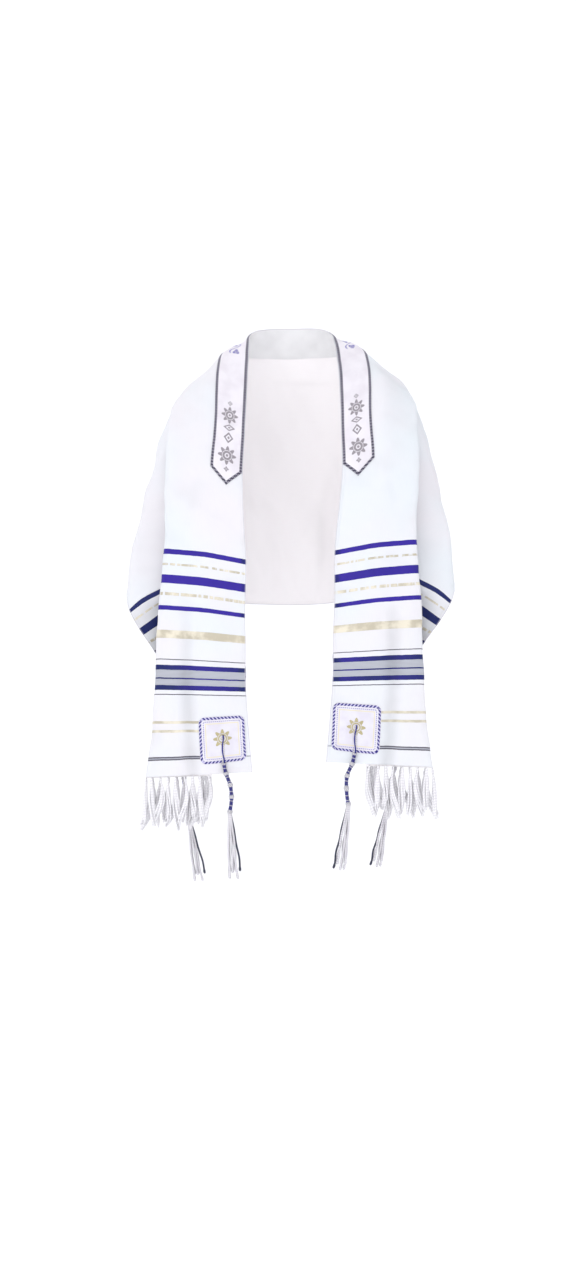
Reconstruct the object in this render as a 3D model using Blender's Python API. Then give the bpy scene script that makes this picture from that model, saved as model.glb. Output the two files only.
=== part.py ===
import math

import bpy
import numpy as np

# A tallit prayer shawl as it hangs on a wearer, with no wearer. Metres, Z up, the front faces -Y.
# The origin is in the middle of the neck, level with the top of the neck edge at the nape. u runs along
# the cloth from the centre of the back (plus is +X), v runs across it from the neck edge to the hem.

for thing in list(bpy.data.objects):
    bpy.data.objects.remove(thing, do_unlink=True)

millimetre = 0.001
clothLength = 1.84
clothWidth = 0.505
clothWall = 0.0018
seamGap = 0.0003
trimWall = 0.0012
trimGap = 0.0004

# One row per section across the half cloth, in mm: u, then x y z of the neck edge, the chest, the ridge
# of the front fold, the arm and the hem, with x counted outwards, then how far the arm swells out.
sections = np.array([
    (0, 0, 70, 0, 0, 104, -62, 0, 122, -140, 0, 140, -315, 0, 150, -490, 4),
    (46, 42, 55, -3, 44, 92, -56, 45, 116, -137, 46, 139, -314, 44, 150, -489, 4),
    (92, 66, 18, -15, 82, 55, -46, 86, 95, -127, 91, 131, -302, 86, 149, -486, 6),
    (140, 70, -22, -41, 102, 10, -40, 126, 64, -106, 138, 118, -284, 130, 144, -476, 8),
    (200, 71, -64, -88, 129, -39, -76, 166, 26, -101, 188, 96, -262, 180, 130, -452, 12),
    (270, 73, -96, -146, 149, -82, -127, 197, -18, -134, 226, 58, -258, 228, 95, -432, 14),
    (340, 76, -110, -211, 150, -109, -190, 208, -72, -180, 243, -4, -276, 258, 40, -448, 12),
    (412, 79, -117, -277, 149, -120, -262, 211, -98, -250, 257, -38, -340, 270, -5, -456, 8),
    (485, 77, -119, -348, 145, -124, -335, 212, -108, -326, 269, -58, -405, 276, -46, -464, 3),
    (520, 75, -120, -383, 143, -124, -369, 212, -111, -362, 264, -68, -448, 276, -66, -481, 1),
    (553, 73, -121, -418, 142, -125, -405, 213, -113, -399, 250, -78, -482, 271, -78, -500, 0),
    (600, 74, -117, -464, 144, -124, -453, 217, -114, -447, 196, -58, -498, 250, -80, -537, 0),
    (644, 75, -115, -507, 146, -123, -497, 222, -115, -492, 168, -34, -545, 228, -80, -569, 0),
    (685, 74, -120, -546, 146, -124, -539, 225, -115, -535, 148, -16, -585, 208, -68, -604, 0),
    (760, 74, -114, -617, 147, -122, -614, 227, -115, -612, 146, -8, -648, 200, 4, -660, 0),
    (840, 69, -122, -693, 146, -125, -693, 233, -114, -694, 148, -8, -714, 199, 57, -724, 0),
    (920, 63, -117, -768, 148, -122, -772, 243, -112, -777, 150, -5, -782, 203, 84, -788, 0),
]) * millimetre

# How the wearer's left side (+X) differs, in mm: u, further out, higher up.
rightSide = np.array([
    (0, 0, 0),
    (92, 2, 2),
    (140, 6, 6),
    (200, 10, 10),
    (270, 11, 13),
    (412, 8, 15),
    (520, 2, 15),
    (685, -2, 17),
    (920, -3, 17),
]) * millimetre

# The pleat behind the front fold: where it begins and is whole along u, and the room between layers.
pleatStart = 0.240
pleatWhole = 0.400
pleatRoom = 0.013

# Hanging folds, in mm: u of the fold, half width, how far out it comes at the hem, v where it begins.
hangingFolds = np.array([
    (-472, 26, 2, 350),
    (-424, 28, -4, 330),
    (-372, 28, 8, 300),
    (-318, 27, -11, 230),
    (-262, 28, 14, 190),
    (-205, 28, -13, 180),
    (-148, 28, 12, 200),
    (-92, 27, -8, 230),
    (-34, 27, 7, 260),
    (52, 24, -9, 190),
    (104, 27, 10, 220),
    (158, 28, -12, 200),
    (214, 28, 14, 190),
    (270, 28, -13, 180),
    (326, 27, 11, 230),
    (380, 28, -8, 300),
    (432, 28, 3, 340),
]) * millimetre

# Soft troughs and ridges down the fronts, in mm: side, v, half width, height, u where it begins, is whole.
frontFolds = np.array([
    (-1, 104, 13, -5, 600, 760),
    (-1, 134, 16, 2, 560, 720),
    (-1, 60, 26, 3, 430, 700),
    (1, 106, 13, -5, 590, 750),
    (1, 136, 16, 2, 560, 720),
    (1, 58, 26, 3, 430, 700),
])

# How finely a section is worked out and how far its corners are rounded.
sectionSteps = 240
cornerRound = 0.0085

# Rows across the cloth that stay put, and the stretches of the cloth with their columns along u.
fixedRows = np.array([0, 5.5, 17.8, 50.5, 57.5, 75.2, 87.5, 104, 120]) * millimetre
lastRows = np.array([419, 431.3, 464, 471, 488.7, 501, 505]) * millimetre
backEnd = 0.190
shoulderEnd = 0.540
frontEnd = clothLength / 2

# The neckband and the facing inside the nape.
bandRows = np.array([[1.5, 5.5, 17.8, 50.5, 57.5]]) * millimetre
bandShoulder = 0.404
bandTip = 0.430
facingReach = 0.115

# Corner patches: name, side, v of the middle, gap to the cloth, how far the cord's top is let in where the
# patch lies flatter than the cloth (minus is out); then u of the middle, half size, how much of it is
# rounded, where its middle rows are, how far above the middle the cord comes out.
patches = [
    ("patch_front_left", -1, 0.0465, 0.0004, 0.0007),
    ("patch_front_right", 1, 0.0465, 0.0004, 0.0007),
    ("patch_rear_left", -1, 0.4600, 0.0010, -0.0003),
    ("patch_rear_right", 1, 0.4600, 0.0010, -0.0003),
]
patchMiddle = 0.862
patchHalf = 0.041
patchCorner = 0.30
patchRows = (4.0 / 41.0, 11.0 / 41.0)
eyeletUp = 0.009

# The knotted fringe: v of the first and last strand, their spacing and half width, and the backing.
fringeFirst = 0.076
fringeLast = 0.414
fringeStep = 0.0141
fringeHalf = 0.0021
fringeGap = 0.0007
backingHeight = 0.0040
backingWall = 0.0024
# Down a fringe strand: distance below the backing, width and thickness as shares of its root.
fringeRings = [(0.004, 0.80, 1.0), (0.011, 1.25, 1.5), (0.018, 0.85, 1.1), (0.048, 1.30, 1.6),
               (0.070, 0.60, 0.7)]

# Tassel paths in mm, from below the eyelet to where the strands begin, then where the strands end.
tassels = [
    ("tassel_front_left", "patch_front_left", [(-99, -134, -789), (-97, -133, -808),
     (-100, -134, -835)], (-94, -132, -938)),
    ("tassel_front_right", "patch_front_right", [(95, -134, -772), (94, -135, -800),
     (97, -134, -822)], (84, -132, -924)),
    ("tassel_rear_left", "patch_rear_left", [(-185, 42, -810), (-176, 42, -838),
     (-177, 43, -867)], (-161, 43, -968)),
    ("tassel_rear_right", "patch_rear_right", [(179, 42, -794), (167, 42, -822),
     (169, 43, -850)], (153, 43, -944)),
]
cordRadius = 0.0026
knotSwell = 1.35
cordRings = 15
cordRelief = 0.004
bellHalf = 0.0042
strandSpread = np.array([0.0065, 0.0055, 0])
strandBow = 0.003
# Down a tassel strand: share of its length, half width.
strandRings = [(0, 0.0010), (0.25, 0.0011), (0.5, 0.0012), (0.75, 0.0012), (1, 0.0008)]


def smoothStep(low, high, value):
    # 0 below low, 1 above high, 3t^2 - 2t^3 between.
    t = np.clip((value - low) / (high - low), 0, 1)
    return t * t * (3 - 2 * t)


def wholeTable():
    # The half table mirrored to -X, and set out and up by rightSide on +X.
    left = sections[:0:-1].copy()
    left[:, [0, 1, 4, 7, 10, 13]] *= -1
    right = sections.copy()
    for column in range(1, 16, 3):
        right[:, column] += np.interp(right[:, 0], rightSide[:, 0], rightSide[:, 1])
        right[:, column + 2] += np.interp(right[:, 0], rightSide[:, 0], rightSide[:, 2])
    return np.vstack([left, right])


clothTable = wholeTable()
tableSlopes = np.gradient(clothTable, clothTable[:, 0], axis=0)


def tableAt(u):
    # Cubic curve through the rows, whose slope at a row comes from the rows beside it.
    knots = clothTable[:, 0]
    i = np.clip(np.searchsorted(knots, u) - 1, 0, len(knots) - 2)
    span = (knots[i + 1] - knots[i])[:, None]
    t = (u - knots[i])[:, None] / span
    start = (1 + 2 * t) * (1 - t) ** 2 * clothTable[i] + t * (1 - t) ** 2 * span * tableSlopes[i]
    return start + t * t * (3 - 2 * t) * clothTable[i + 1] + t * t * (t - 1) * span * tableSlopes[i + 1]


def cornersAt(u, depth):
    # The corners of each section for a given depth of pleat.
    row = tableAt(u)
    neck, chest, ridge, arm, hem = (row[:, 1 + 3 * i:4 + 3 * i] for i in range(5))
    side = np.where(u < 0, -1.0, 1.0)[:, None]
    room = smoothStep(pleatStart, pleatWhole, np.abs(u))[:, None] * pleatRoom
    back = np.array([0, 1.0, -0.2]) * room
    inward = side * np.array([-1.0, 0, 0]) + np.array([0, 0, 0.03])
    behind = ridge + back
    valley = behind + inward * depth[:, None]
    valleyBack = valley + back
    out = arm * np.array([1.0, 1.0, 0]) + np.array([0, 0.05, 0])
    out = out / np.linalg.norm(out, axis=1)[:, None]
    swell = (valleyBack + arm) / 2 + out * row[:, 16:17]
    return np.stack([neck, chest, ridge, behind, valley, valleyBack, swell, arm, hem], axis=1)


def solvedCorners(u):
    # The depth of pleat is the one at which the section is as long as the cloth is wide.
    low = np.zeros(len(u))
    high = np.full(len(u), 0.3)
    for _ in range(34):
        depth = (low + high) / 2
        length = np.linalg.norm(np.diff(cornersAt(u, depth), axis=1), axis=2).sum(axis=1)
        high = np.where(length > clothWidth, depth, high)
        low = np.where(length > clothWidth, low, depth)
    return cornersAt(u, low * smoothStep(pleatStart, pleatWhole, np.abs(u)))


def roundingMatrix():
    # Gaussian weights along a section; past an end the section is carried on turned about that end.
    step = clothWidth / (sectionSteps - 1)
    reach = int(4 * cornerRound / step)
    offsets = np.arange(-reach, reach + 1)
    weights = np.exp(-0.5 * (offsets * step / cornerRound) ** 2)
    weights = weights / weights.sum()
    matrix = np.zeros((sectionSteps, sectionSteps))
    rows = np.arange(sectionSteps)
    last = sectionSteps - 1
    for offset, weight in zip(offsets, weights):
        at = rows + offset
        folded = np.abs(at) - 2 * np.maximum(at - last, 0)
        np.add.at(matrix, (rows, folded), np.where((at < 0) | (at > last), -1, 1) * weight)
        matrix[:, 0] += 2 * weight * (at < 0)
        matrix[:, last] += 2 * weight * (at > last)
    return matrix


rounding = roundingMatrix()


def plainSurface(u, v):
    # Points at u (n) and v (n by m) on the sections, before the hanging folds.
    corners = solvedCorners(u)
    steps = np.linalg.norm(np.diff(corners, axis=1), axis=2)
    along = np.concatenate([np.zeros((len(u), 1)), steps.cumsum(axis=1)], axis=1)
    share = np.linspace(0, 1, sectionSteps)
    lines = np.empty((len(u), sectionSteps, 3))
    for i in range(len(u)):
        for axis in range(3):
            lines[i, :, axis] = np.interp(share * along[i, -1], along[i], corners[i, :, axis])
    lines = np.einsum("ij,njk->nik", rounding, lines)
    steps = np.linalg.norm(np.diff(lines, axis=1), axis=2)
    along = np.concatenate([np.zeros((len(u), 1)), steps.cumsum(axis=1)], axis=1)
    points = np.empty(v.shape + (3,))
    for i in range(len(u)):
        for axis in range(3):
            points[i, :, axis] = np.interp(v[i] / clothWidth * along[i, -1], along[i], lines[i, :, axis])
    return points


def foldHeight(u, v):
    # A hanging fold is a bell across u that grows from its top to the hem; a front fold is a bell across v.
    height = np.zeros(v.shape)
    for centre, half, out, top in hangingFolds:
        height += out * np.exp(-((u[:, None] - centre) / half) ** 2) * smoothStep(top, clothWidth + 0.06, v)
    for side, middle, half, out, start, whole in frontFolds:
        here = np.where(u * side > 0, smoothStep(start, whole, np.abs(u) / millimetre), 0)
        height += millimetre * out * here[:, None] * np.exp(-((v / millimetre - middle) / half) ** 2)
    return height


def outwards(u, v, surface):
    # Unit normal from the slopes along u and v.
    step = 0.0012
    alongU = surface(u + step, v) - surface(u - step, v)
    alongV = surface(u, np.minimum(v + step, clothWidth)) - surface(u, np.maximum(v - step, 0))
    normal = np.cross(alongU, alongV)
    return normal / np.linalg.norm(normal, axis=2)[:, :, None]


def foldedSurface(u, v):
    return plainSurface(u, v) + outwards(u, v, plainSurface) * foldHeight(u, v)[:, :, None]


def clothRows(u):
    # v of the grid rows at each u: fixed rows, then rows close together round both turns of the pleat.
    corners = solvedCorners(u)
    along = np.linalg.norm(np.diff(corners, axis=1), axis=2).cumsum(axis=1)
    along = along * (clothWidth / along[:, -1:])
    fold = smoothStep(pleatStart, pleatWhole, np.abs(u))
    ridge = 0.150 * (1 - fold) + (along[:, 1] + along[:, 2]) / 2 * fold
    valley = 0.290 * (1 - fold) + (along[:, 3] + along[:, 4]) / 2 * fold
    turn = np.array([-17, -7, 0, 7, 17]) * millimetre
    rows = [np.tile(fixedRows, (len(u), 1))]
    rows.append(ridge[:, None] + turn)
    rows.append(np.linspace(ridge + turn[-1], valley + turn[0], 4, axis=1)[:, 1:-1])
    rows.append(valley[:, None] + turn)
    rows.append(np.linspace(valley + turn[-1], np.full(len(u), lastRows[0]), 5, axis=1)[:, 1:-1])
    rows.append(np.tile(lastRows, (len(u), 1)))
    return np.concatenate(rows, axis=1)


def material(name, colour, roughness):
    made = bpy.data.materials.new(name)
    made.use_nodes = True
    shader = made.node_tree.nodes["Principled BSDF"]
    shader.inputs["Base Color"].default_value = (*colour, 1)
    shader.inputs["Roughness"].default_value = roughness
    shader.inputs["Metallic"].default_value = 0
    return made


def meshObject(name, points, faces, paint):
    mesh = bpy.data.meshes.new(name)
    mesh.from_pydata([tuple(map(float, p)) for p in points], [], faces)
    mesh.update()
    thing = bpy.data.objects.new(name, mesh)
    bpy.context.scene.collection.objects.link(thing)
    mesh.materials.append(paint)
    for face in mesh.polygons:
        face.use_smooth = True
    return thing


def wallObject(name, outer, inner, paint):
    # A closed wall from two grids of the same size, in triangles. The left side is cut the mirrored way.
    rows, columns = outer.shape[:2]
    points = np.concatenate([outer.reshape(-1, 3), inner.reshape(-1, 3)])
    under = rows * columns
    faces = []
    for i in range(rows - 1):
        for j in range(columns - 1):
            a = i * columns + j
            b, c, d = a + columns, a + columns + 1, a + 1
            onLeft = outer[i:i + 2, j:j + 2, 0].mean() < -0.002
            pairs = [(a, b, d), (b, c, d)] if onLeft else [(a, b, c), (a, c, d)]
            faces += pairs + [(under + p, under + r, under + q) for p, q, r in pairs]
    edge = [i * columns for i in range(rows)]
    edge += [(rows - 1) * columns + j for j in range(1, columns)]
    edge += [i * columns + columns - 1 for i in range(rows - 2, -1, -1)]
    edge += [j for j in range(columns - 2, 0, -1)]
    for a, b in zip(edge, edge[1:] + edge[:1]):
        faces += [(b, a, under + a), (b, under + a, under + b)]
    return meshObject(name, points, faces, paint)


def trimObject(name, u, v, side, gap, paint):
    # A strip or patch on the cloth's outside (side 1) or inside (side -1), from the cloth's own points.
    middle, normal = onCloth(u, v)
    near = middle + normal * side * (clothWall / 2 + gap)
    far = near + normal * side * trimWall
    return wallObject(name, far, near, paint) if side > 0 else wallObject(name, near, far, paint)


def onCloth(u, v):
    # Points and normals for grids whose u may change along a row.
    flat = u.reshape(-1)
    column = v.reshape(-1, 1)
    points = foldedSurface(flat, column)
    normals = outwards(flat, column, foldedSurface)
    return points.reshape(v.shape + (3,)), normals.reshape(v.shape + (3,))


def stretch(name, columns, paint):
    rows = clothRows(columns)
    middle = foldedSurface(columns, rows)
    normal = outwards(columns, rows, foldedSurface)
    return wallObject(name, middle + normal * clothWall / 2, middle - normal * clothWall / 2, paint)


def patchGrid(vMiddle, side):
    # A square grid whose corners are rounded by drawing each corner cell onto a quarter disc.
    along = np.array([-1, patchCorner - 1, 1 - patchCorner, 1])
    across = np.array([-1, patchCorner - 1, *patchRows, 1 - patchCorner, 1])
    a, b = np.meshgrid(along, across, indexing="ij")
    inner = 1 - patchCorner
    overA = np.maximum(np.abs(a) - inner, 0) / patchCorner
    overB = np.maximum(np.abs(b) - inner, 0) / patchCorner
    roundA = np.sign(a) * (np.minimum(np.abs(a), inner) + patchCorner * overA * np.sqrt(1 - overB ** 2 / 2))
    roundB = np.sign(b) * (np.minimum(np.abs(b), inner) + patchCorner * overB * np.sqrt(1 - overA ** 2 / 2))
    u = side * (patchMiddle + roundA * patchHalf)
    order = slice(None) if side > 0 else slice(None, None, -1)
    return u[order], (vMiddle + roundB * patchHalf)[order]


def fringeObject(name, side, paint):
    # A backing bar along the cloth's end, with strands drawn out of its lower face.
    count = int(round((fringeLast - fringeFirst) / fringeStep)) + 1
    centres = np.linspace(fringeFirst, fringeLast, count)
    v = np.stack([centres - fringeHalf, centres + fringeHalf], axis=1).reshape(-1)
    u = np.full(v.shape, side * frontEnd)
    middle, normal = onCloth(u[None, :].T, v[:, None])
    middle, normal = middle[:, 0], normal[:, 0]
    before = onCloth((u - side * 0.004)[:, None], v[:, None])[0][:, 0]
    down = middle - before
    down = down / np.linalg.norm(down, axis=1)[:, None]
    top = middle + down * fringeGap
    low = top + down * backingHeight
    corners = [top + normal * backingWall / 2, low + normal * backingWall / 2,
               low - normal * backingWall / 2, top - normal * backingWall / 2]
    ring = np.stack(corners, axis=1)
    points = list(ring.reshape(-1, 3))
    faces = []
    last = len(v) - 1
    for i in range(last):
        a, b = 4 * i, 4 * (i + 1)
        for k in range(4):
            if k == 1 and i % 2 == 0:
                continue
            m = (k + 1) % 4
            faces += [(a + k, b + k, b + m), (a + k, b + m, a + m)]
    end = 4 * last
    faces += [(0, 1, 2), (0, 2, 3), (end, end + 2, end + 1), (end, end + 3, end + 2)]
    for i in range(0, last, 2):
        root = [4 * i + 1, 4 * i + 5, 4 * i + 6, 4 * i + 2]
        centre = sum(points[k] for k in root) / 4
        across = (points[root[1]] - points[root[0]]) / 2
        through = (points[root[3]] - points[root[0]]) / 2
        sway = np.array([math.sin(2.1 * i), 0.35 * math.cos(1.3 * i), 0]) * 0.0016
        longer = 1 + 0.05 * math.sin(1.7 * i)
        previous = root
        for drop, wide, thick in fringeRings:
            spot = centre + np.array([0, 0, -drop * longer]) + sway * (drop / 0.05)
            start = len(points)
            points += [spot - across * wide - through * thick, spot + across * wide - through * thick,
                       spot + across * wide + through * thick, spot - across * wide + through * thick]
            now = [start, start + 1, start + 2, start + 3]
            for k in range(4):
                m = (k + 1) % 4
                faces += [(previous[k], previous[m], now[m]), (previous[k], now[m], now[k])]
            previous = now
        faces += [(previous[0], previous[1], previous[2]), (previous[0], previous[2], previous[3])]
    if side > 0:
        faces = [face[::-1] for face in faces]
    return meshObject(name, points, faces, paint)


def tasselObject(name, patchName, path, end, paint):
    # A cord of twelve-sided rings that opens into a square foot, whose eight outer cells grow into strands.
    side, vMiddle, gap, letIn = next(patch[1:] for patch in patches if patch[0] == patchName)
    firstTwo = side * np.array([[patchMiddle - eyeletUp, frontEnd]])
    spot, normal = onCloth(firstTwo, np.full((1, 2), vMiddle))
    out = clothWall / 2 + gap + trimWall + seamGap + cordRadius * knotSwell + np.array([-letIn, cordRelief])
    knots = np.vstack([spot[0] + normal[0] * out[:, None], np.array(path) * millimetre])
    along = np.concatenate([[0], np.linalg.norm(np.diff(knots, axis=0), axis=1).cumsum()])
    stops = np.linspace(0, along[-1], cordRings)
    slopes = np.gradient(knots, along, axis=0)
    spine = np.empty((len(stops), 3))
    for k, stop in enumerate(stops):
        i = min(int(np.searchsorted(along, stop, side="right")) - 1, len(along) - 2)
        span = along[i + 1] - along[i]
        t = (stop - along[i]) / span
        spine[k] = ((1 + 2 * t) * (1 - t) ** 2 * knots[i] + t * (1 - t) ** 2 * span * slopes[i]
                    + t * t * (3 - 2 * t) * knots[i + 1] + t * t * (t - 1) * span * slopes[i + 1])
    cells = np.array([(-1, -1), (-1 / 3, -1), (1 / 3, -1), (1, -1), (1, -1 / 3), (1, 1 / 3),
                      (1, 1), (1 / 3, 1), (-1 / 3, 1), (-1, 1), (-1, 1 / 3), (-1, -1 / 3)])
    circle = cells / np.linalg.norm(cells, axis=1)[:, None]
    points = []
    faces = []
    for k, spot in enumerate(spine):
        knot = knotSwell if k % 3 == 0 else 1.0
        ring = circle * cordRadius * knot
        if k == len(spine) - 1:
            ring = cells * bellHalf
        points += [spot + np.array([x, y, 0]) for x, y in ring]
        if k:
            for m in range(12):
                n = (m + 1) % 12
                a, b = 12 * (k - 1), 12 * k
                faces += [(a + m, b + n, a + n), (a + m, b + m, b + n)]
    faces += [(0, m, m + 1) for m in range(1, 11)]
    foot = 12 * (len(spine) - 1)
    inside = len(points)
    for x, y in ((-1 / 3, -1 / 3), (1 / 3, -1 / 3), (1 / 3, 1 / 3), (-1 / 3, 1 / 3)):
        points.append(spine[-1] + np.array([x, y, 0]) * bellHalf)
    at = [[foot, foot + 1, foot + 2, foot + 3], [foot + 11, inside, inside + 1, foot + 4],
          [foot + 10, inside + 3, inside + 2, foot + 5], [foot + 9, foot + 8, foot + 7, foot + 6]]
    tip = np.array(end) * millimetre
    for row in range(3):
        for column in range(3):
            cell = [at[row][column], at[row][column + 1], at[row + 1][column + 1], at[row + 1][column]]
            if row == 1 and column == 1:
                faces += [(cell[0], cell[2], cell[1]), (cell[0], cell[3], cell[2])]
                continue
            centre = sum(points[k] for k in cell) / 4
            apart = np.array([column - 1, row - 1, 0.0])
            uneven = np.array([0, 0, strandBow * math.sin(5 * row + 3 * column)])
            reach = tip + apart * strandSpread + uneven
            previous = cell
            for share, half in strandRings:
                spot = centre + (reach - centre) * share + apart * strandBow * math.sin(math.pi * share)
                start = len(points)
                points += [spot + np.array([x, y, 0]) * half for x, y in ((-1, -1), (1, -1), (1, 1), (-1, 1))]
                now = [start, start + 1, start + 2, start + 3]
                for k in range(4):
                    m = (k + 1) % 4
                    faces += [(previous[k], now[m], previous[m]), (previous[k], now[k], now[m])]
                previous = now
            faces += [(previous[0], previous[2], previous[1]), (previous[0], previous[3], previous[2])]
    return meshObject(name, points, faces, paint)


clothPaint = material("cloth_white", (0.86, 0.86, 0.90), 0.85)
bandPaint = material("band_grey", (0.55, 0.54, 0.60), 0.75)
facingPaint = material("facing_grey", (0.72, 0.72, 0.73), 0.85)
patchPaint = material("patch_violet", (0.42, 0.40, 0.70), 0.8)
fringePaint = material("fringe_white", (0.82, 0.82, 0.84), 0.9)
tasselPaint = material("tassel_blue", (0.16, 0.17, 0.52), 0.8)

halfSeam = seamGap / 2
backColumns = np.linspace(-backEnd + halfSeam, backEnd - halfSeam, 20)
shoulderColumns = np.linspace(backEnd + halfSeam, shoulderEnd - halfSeam, 17)
patchColumns = patchMiddle + patchHalf * np.array([-1, patchCorner - 1, 1 - patchCorner, 1])
frontColumns = np.linspace(shoulderEnd + halfSeam, patchColumns[0], 8)
frontColumns = np.concatenate([frontColumns, patchColumns[1:], [frontEnd]])

stretch("shawl_back", backColumns, clothPaint)
stretch("shawl_shoulder_left", -shoulderColumns[::-1], clothPaint)
stretch("shawl_shoulder_right", shoulderColumns, clothPaint)
stretch("shawl_front_left", -frontColumns[::-1], clothPaint)
stretch("shawl_front_right", frontColumns, clothPaint)

half = np.concatenate([backColumns[backColumns > 0], shoulderColumns[shoulderColumns < bandShoulder]])
half = np.concatenate([half, [bandShoulder, (bandShoulder + bandTip) / 2, bandTip]])
bandU = np.concatenate([-half[::-1], half])
taper = np.clip((np.abs(bandU) - bandShoulder) / (bandTip - bandShoulder), 0, 0.95)[:, None]
bandV = bandRows + ((bandRows[0, 0] + bandRows[0, -1]) / 2 - bandRows) * taper
trimObject("neckband", np.repeat(bandU[:, None], bandRows.size, axis=1), bandV, 1, trimGap, bandPaint)

facingU = backColumns[np.abs(backColumns) < facingReach]
facingV = np.tile(bandRows, (len(facingU), 1))
facingU = np.repeat(facingU[:, None], bandRows.size, axis=1)
trimObject("neck_facing", facingU, facingV, -1, trimGap, facingPaint)

for patchName, side, vMiddle, gap, letIn in patches:
    gridU, gridV = patchGrid(vMiddle, side)
    trimObject(patchName, gridU, gridV, 1, gap, patchPaint)

fringeObject("fringe_left", -1, fringePaint)
fringeObject("fringe_right", 1, fringePaint)

for tasselName, patchName, path, end in tassels:
    tasselObject(tasselName, patchName, path, end, tasselPaint)
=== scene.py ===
import math

import bpy
import numpy as np
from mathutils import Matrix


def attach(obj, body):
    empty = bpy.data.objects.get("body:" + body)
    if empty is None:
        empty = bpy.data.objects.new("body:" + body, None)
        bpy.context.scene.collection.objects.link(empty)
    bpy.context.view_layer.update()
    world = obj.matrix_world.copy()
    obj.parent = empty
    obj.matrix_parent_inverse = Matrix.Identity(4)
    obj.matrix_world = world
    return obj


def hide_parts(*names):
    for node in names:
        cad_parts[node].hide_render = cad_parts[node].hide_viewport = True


# A tallit prayer shawl as it hangs on a wearer, with no wearer. Metres, Z up, the front faces -Y.
# u runs along the cloth from the centre of the back (plus is +X), v across it from neck edge to hem.

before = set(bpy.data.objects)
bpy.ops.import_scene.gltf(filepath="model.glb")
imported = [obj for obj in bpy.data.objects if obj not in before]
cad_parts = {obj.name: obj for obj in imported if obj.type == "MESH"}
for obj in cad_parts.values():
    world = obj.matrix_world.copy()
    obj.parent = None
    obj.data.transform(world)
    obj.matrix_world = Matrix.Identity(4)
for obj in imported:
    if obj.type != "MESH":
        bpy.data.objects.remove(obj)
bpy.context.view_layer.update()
print("frame loaded,", len(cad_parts), "nodes")

mm = 0.001


def smoothStep(low, high, value):
    # 0 below low, 1 above high, 3t^2 - 2t^3 between
    t = np.clip((value - low) / (high - low), 0, 1)
    return t * t * (3 - 2 * t)


def unit(vectors):
    # each vector over its own length
    return vectors / np.maximum(np.linalg.norm(vectors, axis=-1, keepdims=True), 1e-12)


def dye(code):
    # a colour written as on a screen, in the linear numbers that a shader takes
    parts = np.array([int(code[i:i + 2], 16) for i in (0, 2, 4)]) / 255
    parts = np.where(parts > 0.04045, ((parts + 0.055) / 1.055) ** 2.4, parts / 12.92)
    return (*parts.tolist(), 1.0)


def dyes(codes):
    return [dye(code) for code in codes]


def meshPiece(name, points, faces, paint, uv, values, sharp=50):
    # points and faces into a mesh, with a UV map in metres and one named number per point
    mesh = bpy.data.meshes.new(name)
    mesh.from_pydata(points.tolist(), [], faces)
    mesh.update()
    mesh.shade_smooth()
    corner = np.empty(len(mesh.loops), np.int32)
    mesh.loops.foreach_get("vertex_index", corner)
    mesh.uv_layers.new(name="UVMap").data.foreach_set("uv", uv[corner].astype(np.float32).ravel())
    for label, numbers in values.items():
        mesh.attributes.new(label, "FLOAT", "POINT").data.foreach_set("value", numbers.astype(np.float32))
    mesh.set_sharp_from_angle(angle=math.radians(sharp))
    mesh.materials.append(paint)
    piece = bpy.data.objects.new(name, mesh)
    bpy.context.scene.collection.objects.link(piece)
    return piece


def bevel(edge, deep, wide):
    # how far the rim is let down: deep at the very rim, nothing past wide
    return deep * (1 - smoothStep(0, wide, edge))


def gridFaces(rows, columns):
    # quads of a grid, each a, one row on, diagonal, one column on
    a = (np.arange(rows - 1)[:, None] * columns + np.arange(columns - 1)).ravel()
    return np.stack([a, a + columns, a + columns + 1, a + 1], axis=1)


def closedSheet(name, outer, inner, paint, uv, values):
    # two layers of one grid, joined round the rim; the inner layer is turned to face the other way
    rows, columns = outer.shape[:2]
    layer = gridFaces(rows, columns)
    under = rows * columns
    numbers = np.arange(under).reshape(rows, columns)
    rim = np.concatenate([numbers[:-1, 0], numbers[-1, :-1], numbers[:0:-1, -1], numbers[0, :0:-1]])
    ahead = np.roll(rim, -1)
    side = np.stack([ahead, rim, rim + under, ahead + under], axis=1)
    faces = np.concatenate([layer, (layer + under)[:, ::-1], side]).tolist()
    points = np.concatenate([outer.reshape(-1, 3), inner.reshape(-1, 3)])
    both = {label: np.tile(numbers.ravel(), 2) for label, numbers in values.items()}
    both["inside"] = np.repeat([0.0, 1.0], under)
    return meshPiece(name, points, faces, paint, np.tile(uv.reshape(-1, 2), (2, 1)), both)


# Shader helpers: each adds nodes to its sockets' tree and hands back the socket with the answer.

def fed(node, feeds):
    # each feed of the node is a socket to link or a value to set
    for label, value in feeds.items():
        if isinstance(value, bpy.types.NodeSocket):
            node.id_data.links.new(value, node.inputs[label])
        else:
            node.inputs[label].default_value = value
    return node


def newPaint(name, roughness, sheen):
    # a material, its tree and its shader, with the weak shine of cloth
    paint = bpy.data.materials.new(name)
    paint.use_nodes = True
    shader = paint.node_tree.nodes["Principled BSDF"]
    fed(shader, {"Roughness": roughness, "Sheen Weight": sheen, "Sheen Roughness": 0.5,
                 "Specular IOR Level": 0.22})
    return paint, paint.node_tree, shader


def clothPlaces(tree):
    # the piece's own UV map, in metres, whole and split
    node = tree.nodes.new("ShaderNodeUVMap")
    node.uv_map = "UVMap"
    split = fed(tree.nodes.new("ShaderNodeSeparateXYZ"), {0: node.outputs[0]})
    return node.outputs[0], split.outputs[0], split.outputs[1]


def attribute(tree, label):
    # a number that the mesh carries at each point
    node = tree.nodes.new("ShaderNodeAttribute")
    node.attribute_name = label
    return node.outputs["Fac"]


def maths(operation, *values):
    # one sum of sockets and plain numbers
    tree = next(value.id_data for value in values if isinstance(value, bpy.types.NodeSocket))
    node = tree.nodes.new("ShaderNodeMath")
    node.operation = operation
    return fed(node, dict(enumerate(values))).outputs[0]


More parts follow.
